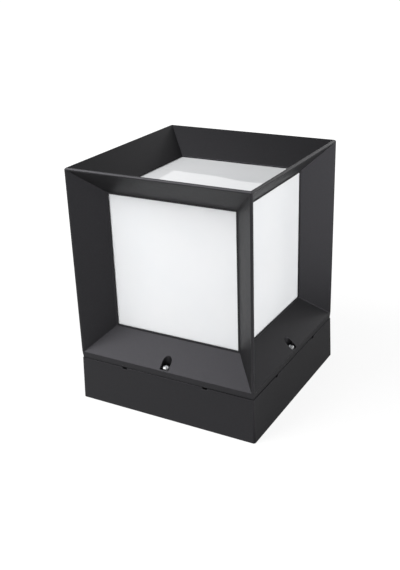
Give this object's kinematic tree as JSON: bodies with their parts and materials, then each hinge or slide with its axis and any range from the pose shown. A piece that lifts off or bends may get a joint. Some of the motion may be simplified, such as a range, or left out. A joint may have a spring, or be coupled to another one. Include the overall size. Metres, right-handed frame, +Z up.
{
  "type": "pillar light",
  "caption": "Square black pillar light: a cast lantern of slanted fins round opal windows, which lifts off a screw-down base that holds the wiring, lampholder and bulb.",
  "frame": {"origin": "middle of the base's underside, on the surface it stands on", "axes": "+Z up, front towards -Y, the terminal block inside lies towards +Y"},
  "size_m": [0.2, 0.2, 0.248],
  "materials": {
    "black_coat": "satin",
    "opal_acrylic": "gloss",
    "stainless": "satin",
    "zinc_plate": "satin",
    "silicone": "matte",
    "black_rubber": "matte",
    "porcelain": "gloss",
    "brass": "satin",
    "tinned_copper": "satin",
    "block_nylon": "matte",
    "lead_brown": "satin",
    "lead_blue": "satin",
    "lead_green": "satin",
    "cap_metal": "satin",
    "cap_glass": "gloss",
    "bulb_plastic": "satin",
    "bulb_opal": "satin"
  },
  "bodies": {
    "base": {"base_housing": "black_coat", "lampholder_bracket": "zinc_plate", "bracket_screws": "zinc_plate", "lampholder_screws": "zinc_plate", "terminal_block_screws": "zinc_plate", "base_gasket": "silicone", "cable_grommet": "black_rubber", "lampholder_body": "porcelain", "lampholder_shell": "brass", "lampholder_contact": "brass", "terminal_tubes": "brass", "terminal_screws": "brass", "earth_screw": "brass", "earth_lug": "tinned_copper", "terminal_block": "block_nylon", "live_lead": "lead_brown", "neutral_lead": "lead_blue", "earth_lead": "lead_green"},
    "lantern": {"lantern_frame": "black_coat", "diffuser": "opal_acrylic", "diffuser_screws": "zinc_plate", "frame_screws": "stainless", "screw_washers": "stainless"},
    "bulb": {"bulb_contact": "cap_metal", "bulb_insulator": "cap_glass", "bulb_cap": "cap_metal", "bulb_housing": "bulb_plastic", "bulb_globe": "bulb_opal"}
  },
  "joints": [
    {"name": "lantern_lift", "type": "slide", "parent": "base", "child": "lantern", "axis": [0, 0, 1], "range_m": [0, 0.18]},
    {"name": "bulb_turn", "type": "hinge", "parent": "base", "child": "bulb", "pos_m": [0, 0, 0.05], "axis": [0, 0, 1], "range_deg": [0, 1080]}
  ]
}
